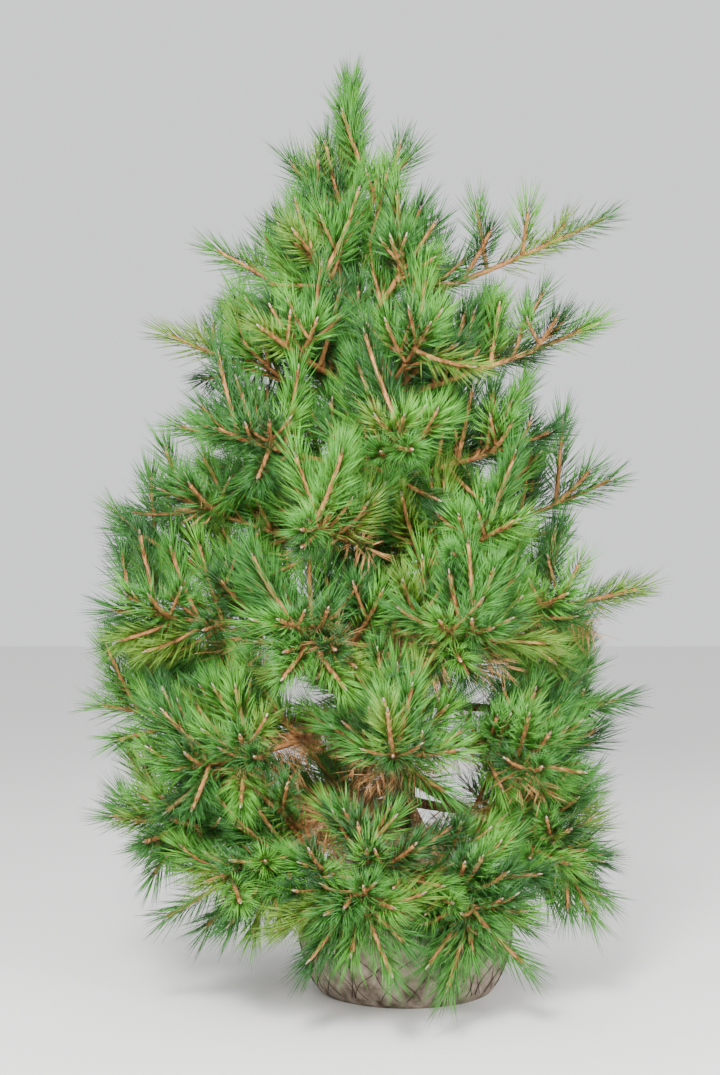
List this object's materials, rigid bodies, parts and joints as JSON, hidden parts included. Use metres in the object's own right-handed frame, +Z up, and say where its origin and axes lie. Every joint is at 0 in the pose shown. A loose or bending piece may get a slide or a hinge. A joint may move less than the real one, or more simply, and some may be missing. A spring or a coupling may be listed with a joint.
{
  "type": "austrian pine on a wrapped root ball",
  "caption": "Young pine tree with long dense needles on whorled ascending boughs, standing on a hessian root ball held in wire netting.",
  "frame": {"origin": "centre of the root ball's flat underside, on the ground", "axes": "+Z up along the tree, +X to the right and +Y away from the viewer of the front"},
  "size_m": [1.5574, 1.3574, 2.4173],
  "materials": {
    "hessian_ball": "rough brown hessian pressed over soil, under dark wire netting",
    "trunk_bark": "grey-brown scaly bark",
    "limb_bark": "tan to orange-brown ridged bark",
    "needles": "long stiff dark green needles in pairs, slightly glossy, on orange-brown shoots"
  },
  "bodies": {
    "root": {"bough_low_1": "limb_bark", "bough_low_2": "limb_bark", "bough_low_3": "limb_bark", "bough_low_4": "limb_bark", "bough_low_5": "limb_bark", "bough_low_6": "limb_bark", "bough_low_7": "limb_bark", "bough_skirt_1": "limb_bark", "bough_skirt_2": "limb_bark", "bough_skirt_3": "limb_bark", "bough_skirt_4": "limb_bark", "bough_skirt_5": "limb_bark", "bough_skirt_6": "limb_bark", "foliage_broad_1": "needles", "foliage_broad_2": "needles", "foliage_broad_3": "needles", "foliage_broad_4": "needles", "foliage_broad_5": "needles", "foliage_broad_6": "needles", "foliage_high_1": "needles", "foliage_high_2": "needles", "foliage_high_3": "needles", "foliage_high_4": "needles", "foliage_high_5": "needles", "foliage_leader": "needles", "foliage_low_1": "needles", "foliage_low_2": "needles", "foliage_low_3": "needles", "foliage_low_4": "needles", "foliage_low_5": "needles", "foliage_low_6": "needles", "foliage_low_7": "needles", "foliage_middle_1": "needles", "foliage_middle_2": "needles", "foliage_middle_3": "needles", "foliage_middle_4": "needles", "foliage_middle_5": "needles", "foliage_skirt_1": "needles", "foliage_skirt_2": "needles", "foliage_skirt_3": "needles", "foliage_skirt_4": "needles", "foliage_skirt_5": "needles", "foliage_skirt_6": "needles", "foliage_top_1": "needles", "foliage_top_2": "needles", "foliage_top_3": "needles", "foliage_upper_1": "needles", "foliage_upper_2": "needles", "foliage_upper_3": "needles", "foliage_upper_4": "needles", "foliage_upper_5": "needles", "foliage_upper_6": "needles", "foliage_waist_1": "needles", "foliage_waist_2": "needles", "foliage_waist_3": "needles", "foliage_waist_4": "needles", "foliage_waist_5": "needles", "foliage_waist_6": "needles", "root_ball": "hessian_ball", "trunk": "trunk_bark"}
  },
  "joints": []
}
